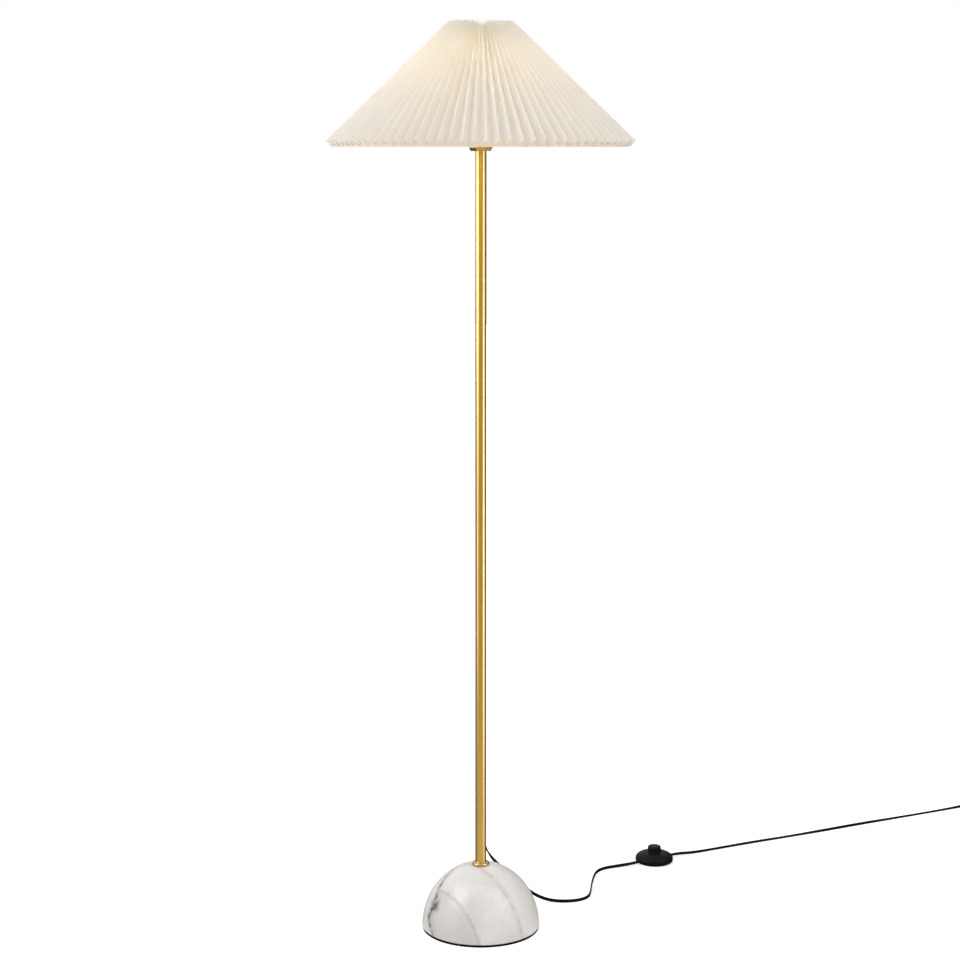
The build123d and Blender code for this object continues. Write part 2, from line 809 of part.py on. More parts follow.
end_angle = pi / 2 - 2 * pi * coil_turns
end_radial = coil_plane.x_dir * cos(end_angle) + coil_plane.y_dir * sin(end_angle)
end_run_way = Vector(end_radial.Y, -end_radial.X, 0)
plug_way = end_run_way.rotate(Axis.Z, end_bend)
plug_middle_z = plug_height / 2
coil_exit = coil_middle + end_radial * coil_radius
end_points = [
    Vector(coil_exit.X, coil_exit.Y, plug_middle_z + end_rise),
    Vector(coil_exit.X, coil_exit.Y, plug_middle_z) + end_run_way * end_run,
    Vector(coil_exit.X, coil_exit.Y, plug_middle_z) + end_run_way * end_run + plug_way * end_run,
]
cord_end = cord_tube("cord_end", [(p.X, p.Y, p.Z) for p in end_points])

plug_rear = Plane(end_points[-1], x_dir=(-plug_way.Y, plug_way.X, 0), z_dir=plug_way)
with BuildPart() as plug_body:
    with BuildSketch(plug_rear.offset(plug_neck_length)):
        RectangleRounded(plug_width, plug_height, plug_round)
    extrude(amount=plug_length)
    fillet(plug_body.faces().sort_by(Axis(plug_rear.origin, plug_way))[0].edges(), plug_round / 2)
    with BuildSketch(plug_rear):
        Circle(plug_neck_radius)
    with BuildSketch(plug_rear.offset(plug_neck_length)):
        Circle(plug_shoulder_radius)
    loft()

with BuildPart() as plug_blades:
    with BuildSketch(plug_rear.offset(plug_neck_length + plug_length)):
        with GridLocations(blade_spacing, 0, 2, 1):
            Rectangle(blade_thickness, blade_height)
    extrude(amount=blade_length)

pieces = {
    "base_pad": base_pad,
    "marble_base": marble_base,
    "tie_rod": tie_rod,
    "base_washer": base_washer,
    "base_nut": base_nut,
    "base_collar": base_collar,
    "lower_tube": lower_tube,
    "middle_tube": middle_tube,
    "upper_tube": upper_tube,
    "tube_bushes": tube_bushes,
    "joint_nipples": joint_nipples,
    "cord_bushing": cord_bushing,
    "inner_lead": inner_lead,
    "socket_nipple": socket_nipple,
    "socket_nut": socket_nut,
    "socket_cup": socket_cup,
    "socket_body": socket_body,
    "screw_shell": screw_shell,
    "centre_contact": centre_contact,
    "shade_ring_nut": shade_ring_nut,
    "bulb_contact": bulb_contact,
    "bulb_insulator": bulb_insulator,
    "bulb_cap": bulb_cap,
    "bulb_glass": bulb_glass,
    "fitter_ring": fitter_ring,
    "fitter_spokes": fitter_spokes,
    "bottom_ring": bottom_ring,
    "hem_band": hem_band,
    "top_ring": top_ring,
    "pleated_shade": pleated_shade,
    "switch_base": switch_base,
    "switch_cover": switch_cover,
    "switch_button": switch_button,
    "switch_spring": switch_spring,
    "contact_bridge": contact_bridge,
    "switch_terminals": switch_terminals,
    "switch_screws": switch_screws,
    "cord_lead": cord_lead,
    "cord_tail": cord_tail,
    "cord_coil": cord_coil,
    "coil_tie": coil_tie,
    "cord_end": cord_end,
    "plug_body": plug_body,
    "plug_blades": plug_blades,
}
for name, piece in pieces.items():
    piece.part.label = name
    export_step(piece.part, f"parts/{name}.step")
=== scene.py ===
import math
import random

import bpy
import numpy as np
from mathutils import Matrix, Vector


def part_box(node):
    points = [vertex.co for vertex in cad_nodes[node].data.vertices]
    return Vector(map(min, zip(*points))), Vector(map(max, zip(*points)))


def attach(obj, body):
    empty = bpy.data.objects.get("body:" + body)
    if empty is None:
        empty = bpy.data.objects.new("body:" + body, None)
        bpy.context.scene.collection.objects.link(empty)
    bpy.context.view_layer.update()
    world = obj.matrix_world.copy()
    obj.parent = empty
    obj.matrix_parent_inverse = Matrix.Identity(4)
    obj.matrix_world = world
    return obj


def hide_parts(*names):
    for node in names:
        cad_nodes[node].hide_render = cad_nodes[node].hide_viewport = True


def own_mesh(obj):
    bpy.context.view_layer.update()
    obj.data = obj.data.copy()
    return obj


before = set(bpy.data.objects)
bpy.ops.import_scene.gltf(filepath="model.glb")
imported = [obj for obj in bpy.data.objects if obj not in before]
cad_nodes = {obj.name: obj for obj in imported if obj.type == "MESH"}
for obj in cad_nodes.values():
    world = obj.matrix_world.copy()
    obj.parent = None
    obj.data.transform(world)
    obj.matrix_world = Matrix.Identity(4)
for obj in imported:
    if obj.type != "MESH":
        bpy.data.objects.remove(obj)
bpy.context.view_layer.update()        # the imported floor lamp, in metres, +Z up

scene = bpy.context.scene
scene.view_settings.view_transform = "Standard"


# Camera, fitted to the foot, the rim of the shade and the cord's lie on the floor
camera_pitch = 8.985
camera_lens = bpy.data.cameras.new("camera")
camera_lens.lens = 79.1
camera_lens.sensor_width = 36
camera = bpy.data.objects.new("camera", camera_lens)
camera.location = (-0.0012, -3.35, 1.281)
camera.rotation_euler = (math.radians(90 - camera_pitch), 0, 0)
scene.collection.objects.link(camera)
scene.camera = camera


# Making meshes
def mesh_piece(name, points, faces, smooth=True):
    mesh = bpy.data.meshes.new(name)
    mesh.from_pydata([tuple(p) for p in points], [], faces)
    mesh.validate()
    mesh.polygons.foreach_set("use_smooth", [smooth] * len(mesh.polygons))
    piece = bpy.data.objects.new(name, mesh)
    scene.collection.objects.link(piece)
    return piece


def nurbs_line(points, resolution):
    """Points along the NURBS spline of order 3 that has these control points."""
    curve = bpy.data.curves.new("route", "CURVE")
    curve.dimensions = "3D"
    spline = curve.splines.new("NURBS")
    spline.points.add(len(points) - 1)
    for knot, point in zip(spline.points, points):
        knot.co = (*point, 1)
    spline.order_u = 3
    spline.use_endpoint_u = True
    spline.resolution_u = resolution
    holder = bpy.data.objects.new("route", curve)
    mesh = bpy.data.meshes.new_from_object(holder)
    line = np.array([v.co for v in mesh.vertices])
    bpy.data.meshes.remove(mesh)
    bpy.data.objects.remove(holder)
    bpy.data.curves.remove(curve)
    return line


# Cord: flat, with two cores side by side
cord_width = 0.0056
core_radius = 0.0012
core_place = cord_width / 2 - core_radius
core_steps = 9
core_arc = math.radians(125)
cord_steps_per_point = 12
on_edge = cord_width / 2        # height of the cord's centre line where it stands on edge on the floor


def cord_section():
    """The outline of two touching cores with a shallow groove between them, as (across, up) pairs."""
    right = []
    for i in range(core_steps):
        angle = -core_arc + 2 * core_arc * i / (core_steps - 1)
        right.append((core_place + core_radius * math.cos(angle), core_radius * math.sin(angle)))
    left = [(-across, -up) for across, up in right]
    return np.array(right + left)


def flat_cord(name, route):
    """A cord along (x, y, z, roll) points: flat side down at roll 0, on edge at 90 degrees."""
    line = nurbs_line([point[:3] for point in route], cord_steps_per_point)
    roll = nurbs_line([(math.radians(point[3]), 0, 0) for point in route], cord_steps_per_point)[:, :1]
    along = np.gradient(line, axis=0)
    along /= np.linalg.norm(along, axis=1, keepdims=True)
    side = np.cross((0, 0, 1), along)
    side /= np.linalg.norm(side, axis=1, keepdims=True)
    rise = np.cross(along, side)
    across = np.cos(roll) * side + np.sin(roll) * rise
    up = np.cos(roll) * rise - np.sin(roll) * side
    section = cord_section()
    count = len(section)
    rings = line[:, None] + section[None, :, :1] * across[:, None] + section[None, :, 1:] * up[:, None]
    faces = []
    for ring in range(len(line) - 1):
        for i in range(count):
            j = (i + 1) % count
            a, b = ring * count, (ring + 1) * count
            faces.append((a + i, a + j, b + j, b + i))
    faces.append(tuple(reversed(range(count))))
    faces.append(tuple(range((len(line) - 1) * count, len(line) * count)))
    return mesh_piece(name, rings.reshape(-1, 3), faces), line


lead_route = [
    (0.0, 0.029, 0.13206, 0),
    (0.0, 0.044, 0.13206, 0),
    (0.004, 0.060, 0.127, 5),
    (0.0085, 0.073, 0.1095, 15),
    (0.023, 0.084, 0.083, 75),
    (0.053, 0.095, 0.055, 90),
    (0.082, 0.106, 0.022, 85),
    (0.112, 0.111, 0.0050, 75),
    (0.141, 0.109, on_edge, 80),
    (0.167, 0.114, on_edge, 90),
    (0.186, 0.130, on_edge, 90),
    (0.1915, 0.160, on_edge, 90),
    (0.1945, 0.195, on_edge, 90),
    (0.1995, 0.229, on_edge, 90),
    (0.2065, 0.261, on_edge, 90),
    (0.222, 0.279, on_edge, 90),
    (0.244, 0.288, 0.0031, 80),
    (0.26934, 0.29354, 0.0052, 45),
    (0.29068, 0.30713, 0.0055, 20),
]
tail_route = [
    (0.33892, 0.33787, 0.0055, 20),
    (0.36026, 0.35146, 0.0052, 40),
    (0.388, 0.364, 0.0021, 35),
    (0.436, 0.3888, 0.0018, 15),
    (0.505, 0.4234, 0.0020, 28),
    (0.581, 0.4594, 0.0016, 8),
    (0.655, 0.4945, 0.0023, 40),
    (0.728, 0.5324, 0.0023, 42),
    (0.800, 0.568, 0.0017, 15),
    (0.868, 0.6016, 0.0015, 5),
    (0.925, 0.6295, 0.0020, 20),
    (0.9574, 0.6466, 0.0029, 60),
    (0.98396, 0.66194, 0.0029, 85),
]

# The put-away length: two turns on edge, the second inside the first, then up and over them to the plug
coil_centre = np.array((0.99967, 0.63269))
coil_heading = math.atan2(0.0145, 0.027)
coil_turns = 2.25
points_per_turn = 16
outer_turn = 0.0332
inner_turn = 0.0300
leaving_turn = 0.0310
crossing_lift = 0.0048
inward_turns = (0.5, 0.95)
lifting_turns = (1.5, 1.95)
leaving_turns = (1.9, coil_turns)


def ease(value, low, high):
    share = min(1.0, max(0.0, (value - low) / (high - low)))
    return share * share * (3 - 2 * share)


def coil_points():
    points = []
    for i in range(1, int(coil_turns * points_per_turn) + 1):
        turn = i / points_per_turn
        angle = coil_heading + math.pi / 2 - 2 * math.pi * turn
        lift = ease(turn, *lifting_turns)
        radius = (outer_turn + (inner_turn - outer_turn) * ease(turn, *inward_turns)
                  + (leaving_turn - inner_turn) * ease(turn, *leaving_turns))
        x, y = coil_centre + radius * np.array((math.cos(angle), math.sin(angle)))
        points.append((x, y, on_edge + crossing_lift * lift, 90 * (1 - lift)))
    return points


end_route = [
    (1.0383, 0.6262, 0.00690, 0),
    (1.0461, 0.6170, 0.00675, 0),
    (1.0538, 0.6079, 0.00675, 0),
]
cord_lead, lead_line = flat_cord("cord_lead_flat", lead_route)
cord_tail, tail_line = flat_cord("cord_tail_flat", tail_route + coil_points() + end_route)

for cord, replaced in ((cord_lead, ("cord_lead",)), (cord_tail, ("cord_tail", "cord_coil", "cord_end"))):
    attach(cord, "lamp")
    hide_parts(*replaced)


# Shade: one strip of cloth folded into pleats and wrapped into a cone
pleat_count = 84
rim_radius = 0.2424
top_radius = 0.0510
fold_length = 0.265
panel_width = 0.0153
sheet_half = 0.0003
shade_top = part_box("pleated_shade")[1].z
fold_run = rim_radius - top_radius
fold_rise = math.sqrt(fold_length**2 - fold_run**2)
shade_rim = shade_top - fold_rise
out_r = fold_rise / fold_length
out_z = fold_run / fold_length
half_pitch = math.pi / pleat_count
fold_soft = 0.08
panel_steps = (0.0, 0.04, 0.08, 0.3, 0.5, 0.7, 0.92, 0.96)
slope_steps = 36


def pleat_depth(ridge_radius):
    """Depth of the valleys at a radius: the panels keep their width all the way up."""
    gather = 1 - math.cos(half_pitch)
    shift = ridge_radius * out_r * gather
    return shift + math.sqrt(shift**2 + panel_width**2 - 2 * ridge_radius**2 * gather)


def fold_shape(share):
    """Depth of a panel from its valley, 1, to its ridge, 0, with both folds rounded."""
    if share < fold_soft:
        depth = 1 - (share**2 / (2 * fold_soft) + fold_soft / 2)
    elif share > 1 - fold_soft:
        depth = (1 - share)**2 / (2 * fold_soft) + fold_soft / 2
    else:
        depth = 1 - share
    return (depth - fold_soft / 2) / (1 - fold_soft)


def shade_piece():
    """The cloth with slightly uneven folds; a value at each point, 1 on the ridges and along the top and lower
    in the valleys, carries painted light and shade.
    """
    draw = random.Random(7)
    fold_count = 2 * pleat_count

    def uneven(low, high):
        return [draw.uniform(low, high) for _ in range(fold_count)]

    def between(values, fold, share):
        return values[fold] * (1 - share) + values[(fold + 1) % fold_count] * share

    fold_turn = uneven(-0.055, 0.055)
    fold_trim = uneven(-0.0006, 0.0006)
    fold_top = uneven(-0.0010, 0.0012)
    fold_dip = uneven(0.0, 0.02)
    top_turn = uneven(-0.24, 0.24)
    columns = []
    for fold in range(fold_count):
        rising = fold % 2 == 0
        for share in panel_steps:
            columns.append((fold, share, fold_shape(share if rising else 1 - share)))
    points = []
    painted_fold_light = []
    for row in range(slope_steps + 1):
        up = row / slope_steps
        ridge_radius = rim_radius + (top_radius - rim_radius) * up
        depth = pleat_depth(ridge_radius)
        for fold, share, dip in columns:
            turn = between(fold_turn, fold, share) * (1 - up) + between(top_turn, fold, share) * up**2
            angle = (fold + share + turn) * half_pitch
            shallow = between(fold_dip, fold, share)
            sunk = sheet_half + depth * (dip * (1 - shallow) + shallow / 2)
            slide = between(fold_trim, fold, share) * (1 - up) + between(fold_top, fold, share) * up
            radius = ridge_radius - sunk * out_r - slide * out_z
            height = shade_rim + fold_rise * up - sunk * out_z + slide * out_r
            points.append((radius * math.cos(angle), radius * math.sin(angle), height))
            painted_fold_light.append(1 - dip * (1 - up))
    around = len(columns)
    faces = []
    for row in range(slope_steps):
        for i in range(around):
            j = (i + 1) % around
            a, b = row * around, (row + 1) * around
            faces.append((a + i, a + j, b + j, b + i))
    piece = mesh_piece("shade_cloth", points, faces)
    piece.data.attributes.new("painted_fold_light", "FLOAT", "POINT").data.foreach_set("value", painted_fold_light)
    return piece


shade = shade_piece()
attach(shade, "shade")
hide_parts("pleated_shade")


# Spring of the foot switch, drawn at rest; the real one shortens as the button goes down
spring_wire_radius = 0.00035
spring_turns = 4
spring_steps = 24
spring_sides = 8


def spring_piece():
    low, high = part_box("switch_spring")
    centre = np.array(((low.x + high.x) / 2, (low.y + high.y) / 2))
    radius = (high.x - low.x) / 2 - spring_wire_radius
    length = high.z - low.z
    foot = low.z + spring_wire_radius
    climb = length - 2 * spring_wire_radius
    count = spring_turns * spring_steps + 1
    points = []
    for i in range(count):
        turn = 2 * math.pi * i / spring_steps
        out = np.array((math.cos(turn), math.sin(turn)))
        for k in range(spring_sides):
            angle = 2 * math.pi * k / spring_sides
            x, y = centre + (radius + spring_wire_radius * math.cos(angle)) * out
            points.append((x, y, foot + climb * i / (count - 1) + spring_wire_radius * math.sin(angle)))
    faces = []
    for i in range(count - 1):
        for k in range(spring_sides):
            j = (k + 1) % spring_sides
            a, b = i * spring_sides, (i + 1) * spring_sides
            faces.append((a + k, b + k, b + j, a + j))
    faces.append(tuple(range(spring_sides)))
    faces.append(tuple(reversed(range((count - 1) * spring_sides, count * spring_sides))))
    piece = mesh_piece("switch_spring_coil", points, faces)
    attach(piece, "lamp")
    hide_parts("switch_spring")
    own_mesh(piece)
    return piece


spring = spring_piece()


# Shader nodes
def fix(made, **inputs):
    """Sets a node's inputs; an underscore stands for a space in an input's name."""
    for name, value in inputs.items():
        made.inputs[name.replace("_", " ")].default_value = value
    return made


def node(tree, kind, **inputs):
    return fix(tree.nodes.new("ShaderNode" + kind), **inputs)


def join(tree, source, target):
    tree.links.new(source, target)


def new_material(name):
    material = bpy.data.materials.new(name)
    material.use_nodes = True
    tree = material.node_tree
    tree.nodes.clear()
    surface = node(tree, "BsdfPrincipled")
    output = node(tree, "OutputMaterial")
    join(tree, surface.outputs["BSDF"], output.inputs["Surface"])
    return material, tree, surface, output


def place(tree, stretch=(1, 1, 1)):
    """An object's own coordinates in metres, stretched."""
    coords = node(tree, "TexCoord")
    mapping = node(tree, "Mapping", Scale=stretch)
    join(tree, coords.outputs["Object"], mapping.inputs["Vector"])
    return mapping.outputs["Vector"]


def noise(tree, grain, detail=3.0, roughness=0.5, stretch=(1, 1, 1), where=None):
    made = node(tree, "TexNoise", Scale=1 / grain, Detail=detail, Roughness=roughness)
    join(tree, where or place(tree, stretch), made.inputs["Vector"])
    return made.outputs["Fac"]


def grey(level):
    return (level, level, level)


def ramp(tree, source, stops):
    made = node(tree, "ValToRGB")
    band = made.color_ramp
    band.elements[0].position, band.elements[0].color = stops[0][0], (*stops[0][1], 1)
    band.elements[1].position, band.elements[1].color = stops[-1][0], (*stops[-1][1], 1)
    for spot, colour in stops[1:-1]:
        band.elements.new(spot).color = (*colour, 1)
    join(tree, source, made.inputs["Fac"])
    return made.outputs["Color"]


def span(tree, source, low, high, to_low, to_high):
    made = node(tree, "MapRange", From_Min=low, From_Max=high, To_Min=to_low, To_Max=to_high)
    join(tree, source, made.inputs["Value"])
    return made.outputs["Result"]


def soft_step(tree, source, low, high):
    """0 at low and 1 at high, eased at both ends."""
    made = node(tree, "MapRange", From_Min=low, From_Max=high)
    made.interpolation_type = "SMOOTHSTEP"
    join(tree, source, made.inputs["Value"])
    return made.outputs["Result"]


def calc(tree, operation, a, b=None):
    made = node(tree, "Math")
    made.operation = operation
    for socket, value in zip(made.inputs, (a, b)):
        if isinstance(value, (int, float)):
            socket.default_value = value
        elif value is not None:
            join(tree, value, socket)
    return made.outputs["Value"]


def times(tree, a, b):
    return calc(tree, "MULTIPLY", a, b)


def vector_calc(tree, operation, a, b=None):
    made = node(tree, "VectorMath")
    made.operation = operation
    join(tree, a, made.inputs[0])
    if isinstance(b, tuple):
        made.inputs[1].default_value = b
    elif b is not None:
        join(tree, b, made.inputs[1])
    return made.outputs


def facing(tree, direction, towards, low, high):
    """1 where a direction points towards a place in the studio, 0 away from it."""
    return soft_step(tree, vector_calc(tree, "DOT_PRODUCT", direction, towards)["Value"], low, high)


def tinted(tree, colour, share, tint):
    mix = node(tree, "Mix")
    mix.data_type = "RGBA"
    join(tree, share, mix.inputs["Factor"])
    join(tree, colour, mix.inputs["A"])
    mix.inputs["B"].default_value = (*tint, 1)
    return mix.outputs["Result"]


def relief(tree, surface, height, depth):
    made = node(tree, "Bump", Strength=1.0, Distance=depth)
    join(tree, height, made.inputs["Height"])
    join(tree, made.outputs["Normal"], surface.inputs["Normal"])


# Materials
def grained(name, dark, light, rough, grain, depth, metallic=0.0, stretch=(1, 1, 1), coat=0.0, gloss=0.5):
    """Mottled colour at a coarse grain, uneven roughness and a fine relief at the grain's own size."""
    material, tree, surface, _ = new_material(name)
    fine = noise(tree, grain, 4.0, 0.6, stretch)
    broad = noise(tree, grain * 8, 3.0, 0.5, stretch)
    join(tree, ramp(tree, broad, [(0.3, dark), (0.7, light)]), surface.inputs["Base Color"])
    join(tree, span(tree, fine, 0.3, 0.7, *rough), surface.inputs["Roughness"])
    fix(surface, Metallic=metallic, Coat_Weight=coat, Specular_IOR_Level=gloss)
    relief(tree, surface, fine, depth)
    return material


streak_grain = 0.0016
streak_depth = 0.000001
drift_grain = 0.05


def brass_material(name, dark, light, rough):
    """Lacquered satin brass: fine lengthwise streaks in roughness and relief, a faint drift of colour."""
    material, tree, surface, _ = new_material(name)
    streaks = noise(tree, streak_grain, 3.0, 0.6, (1, 1, 0.03))
    drift = noise(tree, drift_grain, 3.0, 0.5, (1, 1, 0.35))
    join(tree, ramp(tree, drift, [(0.3, dark), (0.7, light)]), surface.inputs["Base Color"])
    join(tree, span(tree, streaks, 0.3, 0.7, *rough), surface.inputs["Roughness"])
    fix(surface, Metallic=1.0, Coat_Weight=1.0, Coat_Roughness=0.28, Coat_IOR=2.2)
    relief(tree, surface, streaks, streak_depth)
    return material


blotch_place = (-0.0768, -0.0416, 0.0496)
haze_place = (-0.004, -0.081, 0.060)
vein_smoke = 0.20


def vein_plane(tree, where, normal, offset, wander):
    """Distance from a plane through the stone; the plane wanders by a noise."""
    along = vector_calc(tree, "DOT_PRODUCT", where, normal)["Value"]
    return calc(tree, "ADD", calc(tree, "SUBTRACT", along, offset), wander)


def marble_material():
    """Polished white stone: grey clouds, a dark broken vein with a blotch, and long soft veins."""
    material, tree, surface, _ = new_material("polished_marble")
    where = place(tree)
    parts = node(tree, "SeparateXYZ")
    join(tree, where, parts.inputs["Vector"])
    clouds = noise(tree, 0.060, 5.0, 0.55, where=where)
    mottle = noise(tree, 0.010, 6.0, 0.65, where=where)
    fret = noise(tree, 0.0065, 6.0, 0.72, where=where)
    worn = noise(tree, 0.012, 4.0, 0.6, where=where)

    # Planes on which the veins lie; the dark one also swerves with its height
    jagged = span(tree, fret, 0.25, 0.75, -0.0046, 0.0046)
    smooth = span(tree, fret, 0.25, 0.75, -0.0010, 0.0010)
    swerve = ramp(tree, span(tree, parts.outputs["Z"], 0.0, 0.1, 0.0, 1.0),
                  [(0.10, grey(0.0)), (0.15, grey(0.35)), (0.32, grey(1.0)), (0.40, grey(0.70)),
                   (0.50, grey(0.29)), (0.66, grey(0.38)), (0.74, grey(0.58)), (0.92, grey(0.50))])
    dark_wander = calc(tree, "SUBTRACT", jagged, span(tree, swerve, 0, 1, -0.0062, 0.0062))
    dark = vein_plane(tree, where, (-0.722, 0.681, -0.119), 0.0253, dark_wander)
    branch = vein_plane(tree, where, (-0.165, 0.848, 0.504), 0.0018, jagged)
    twig = vein_plane(tree, where, (-0.509, -0.052, -0.859), -0.0031, jagged)
    left = vein_plane(tree, where, (-0.790, -0.585, -0.184), 0.0578, smooth)
    right = vein_plane(tree, where, (-0.745, -0.637, -0.197), -0.0081, smooth)
    rear = vein_plane(tree, where, (0.55, 0.80, 0.24), 0.0700, jagged)
    rear_soft = vein_plane(tree, where, (-0.80, 0.45, 0.40), 0.0760, smooth)

    # Parts of the stone where a vein or a tint shows
    in_front = soft_step(tree, dark, 0.004, -0.004)
    behind = soft_step(tree, dark, 0.020, 0.040)
    from_blotch = vector_calc(tree, "DISTANCE", where, blotch_place)["Value"]
    blotch = soft_step(tree, from_blotch, 0.020, 0.006)
    thick = calc(tree, "MAXIMUM", soft_step(tree, from_blotch, 0.060, 0.036), 0.75)
    from_haze = vector_calc(tree, "DISTANCE", where, haze_place)["Value"]
    haze = times(tree, soft_step(tree, from_haze, 0.036, 0.008), soft_step(tree, clouds, 0.62, 0.38))
    # The left patch is partly the stone's grey and partly painted shade, the right patch partly its white and
    # partly painted light, against the studio's stronger light from the left.
    greyed_and_shaded = times(tree, soft_step(tree, left, -0.003, 0.010), in_front)
    pale_and_lit = soft_step(tree, right, 0.0, -0.012)
    speckled = soft_step(tree, mottle, 0.50, 0.70)

    colour = ramp(tree, clouds, [(0.30, (0.79, 0.785, 0.775)), (0.50, (0.86, 0.862, 0.857)),
                                 (0.70, (0.91, 0.913, 0.915))])
    for area, share, tint in ((greyed_and_shaded, 0.80, (0.65, 0.64, 0.62)), (pale_and_lit, 0.80, (0.97, 0.975, 0.975)),
                              (haze, 0.70, (0.70, 0.70, 0.695)), (speckled, 0.24, (0.60, 0.592, 0.58))):
        colour = tinted(tree, colour, times(tree, area, share), tint)

    # Each vein: its plane, half width, reach of its smoke, least strength where worn, strength, mask, colour
    veins = (
        (dark, 0.0080, 0.022, 0.42, 1.00, thick, (0.10, 0.086, 0.078)),
        (branch, 0.0095, 0.016, 0.45, 0.95, blotch, (0.10, 0.086, 0.080)),
        (twig, 0.0080, 0.014, 0.40, 0.90, blotch, (0.12, 0.102, 0.094)),
        (left, 0.0056, 0.014, 0.65, 0.55, in_front, (0.38, 0.36, 0.35)),
        (right, 0.0052, 0.014, 0.25, 0.50, in_front, (0.40, 0.375, 0.36)),
        (rear, 0.0034, 0.014, 0.25, 0.85, behind, (0.20, 0.19, 0.185)),
        (rear_soft, 0.0028, 0.012, 0.40, 0.60, behind, (0.38, 0.36, 0.35)),
    )
    for plane, width, halo, least, strength, mask, tint in veins:
        away = calc(tree, "ABSOLUTE", plane)
        core = times(tree, soft_step(tree, away, width, 0.0), span(tree, worn, 0.40, 0.62, least, 1.0))
        smoke = times(tree, soft_step(tree, away, halo, 0.0), vein_smoke)
        shown = times(tree, calc(tree, "MAXIMUM", core, smoke), strength)
        colour = tinted(tree, colour, times(tree, shown, mask), tint)
    join(tree, colour, surface.inputs["Base Color"])
    join(tree, span(tree, mottle, 0.3, 0.7, 0.28, 0.36), surface.inputs["Roughness"])
    fix(surface, Specular_IOR_Level=0.25)
    relief(tree, surface, mottle, 0.00002)
    return material


cloth_gloss = 0.05
weave_depth = 0.00002


def woven(tree, surface):
    """A fine weave in a cloth's roughness and relief."""
    weave = noise(tree, 0.0008, 2.0, 0.5, (1, 1, 0.4))
    join(tree, span(tree, weave, 0.3, 0.7, 0.75, 0.9), surface.inputs["Roughness"])
    fix(surface, Specular_IOR_Level=cloth_gloss)
    relief(tree, surface, weave, weave_depth)


def cloth_material():
    """Pleated cloth: painted highlight along its ridges and painted shade in its valleys, and part of the light
    from the bulb comes through.
    """
    material, tree, surface, output = new_material("pleated_cloth")
    woven(tree, surface)
    # Painted light and shade of the folds: whiter on the ridges and along the top, darker in the valleys.
    painted_fold_light = node(tree, "Attribute")
    painted_fold_light.attribute_name = "painted_fold_light"
    uneven = calc(tree, "ADD", painted_fold_light.outputs["Fac"], span(tree, noise(tree, 0.03), 0.3, 0.7, -0.06, 0.06))
    join(tree, ramp(tree, uneven, [(0.05, (0.86, 0.83, 0.775)), (0.55, (0.905, 0.885, 0.85)),
                                   (0.85, (0.93, 0.92, 0.90)), (1.0, (0.97, 0.965, 0.955))]),
         surface.inputs["Base Color"])
    through = node(tree, "BsdfTranslucent", Color=(1.0, 0.97, 0.90, 1))
    blend = node(tree, "MixShader", Fac=0.27)
    join(tree, surface.outputs["BSDF"], blend.inputs[1])
    join(tree, through.outputs["BSDF"], blend.inputs[2])
    join(tree, blend.outputs["Shader"], output.inputs["Surface"])
    return material


def hem_material():
    """The band behind the lower edge: the same cloth, warmer, with a painted glow that stands in for the bulb's
    light from inside.
    """
    material, tree, surface, _ = new_material("hem_cloth_painted_glow")
    woven(tree, surface)
    join(tree, ramp(tree, noise(tree, 0.02), [(0.3, (0.88, 0.82, 0.74)), (0.7, (0.93, 0.88, 0.81))]),
         surface.inputs["Base Color"])
    # Painted glow: the band emits warm light though it is no lamp.
    fix(surface, Emission_Color=(1.0, 0.75, 0.52, 1))
    join(tree, span(tree, noise(tree, 0.015), 0.3, 0.7, 0.12, 0.20), surface.inputs["Emission Strength"])
    return material


neck_height = 1.345
globe_height = 1.385


def bulb_material():
    """Frosted glass that glows warm, less towards the neck."""
    material, tree, surface, _ = new_material("frosted_bulb")
    frost = noise(tree, 0.0012, 3.0, 0.5)
    parts = node(tree, "SeparateXYZ")
    join(tree, place(tree), parts.inputs["Vector"])
    join(tree, ramp(tree, frost, [(0.3, (0.90, 0.86, 0.78)), (0.7, (0.95, 0.92, 0.86))]),
         surface.inputs["Base Color"])
    fix(surface, Roughness=0.5, Emission_Color=(1.0, 0.79, 0.47, 1))
    join(tree, span(tree, parts.outputs["Z"], neck_height, globe_height, 2.5, 8.0),
         surface.inputs["Emission Strength"])
    return material


def dress(material, *names):
    for name in names:
        mesh = cad_nodes[name].data
        mesh.materials.clear()
        mesh.materials.append(material)


satin_brass = brass_material("satin_brass", (0.46, 0.26, 0.003), (0.52, 0.295, 0.008), (0.25, 0.30))
bright_brass = brass_material("bright_brass", (0.52, 0.30, 0.006), (0.58, 0.33, 0.012), (0.10, 0.14))
# Painted shade: the collar's brass is a darker copy of the satin brass, and rougher.
shade_darkened_brass = brass_material("shade_darkened_brass", (0.33, 0.20, 0.004), (0.38, 0.23, 0.010), (0.40, 0.46))
plain_brass = grained("plain_brass", (0.62, 0.40, 0.12), (0.74, 0.50, 0.18), (0.25, 0.4), 0.0008, 0.00002,
                      metallic=1.0)
zinc_steel = grained("zinc_steel", (0.42, 0.42, 0.43), (0.58, 0.58, 0.60), (0.3, 0.5), 0.0008, 0.00002,
                     metallic=1.0)
aluminium = grained("cap_aluminium", (0.55, 0.55, 0.56), (0.68, 0.68, 0.69), (0.25, 0.4), 0.0006, 0.00003,
                    metallic=1.0, stretch=(0.1, 0.1, 1))
porcelain = grained("glazed_porcelain", (0.74, 0.72, 0.67), (0.82, 0.80, 0.76), (0.08, 0.18), 0.002, 0.00003,
                    coat=0.4)
insulator = grained("black_glass", (0.008, 0.008, 0.009), (0.02, 0.02, 0.022), (0.1, 0.25), 0.001, 0.00002)
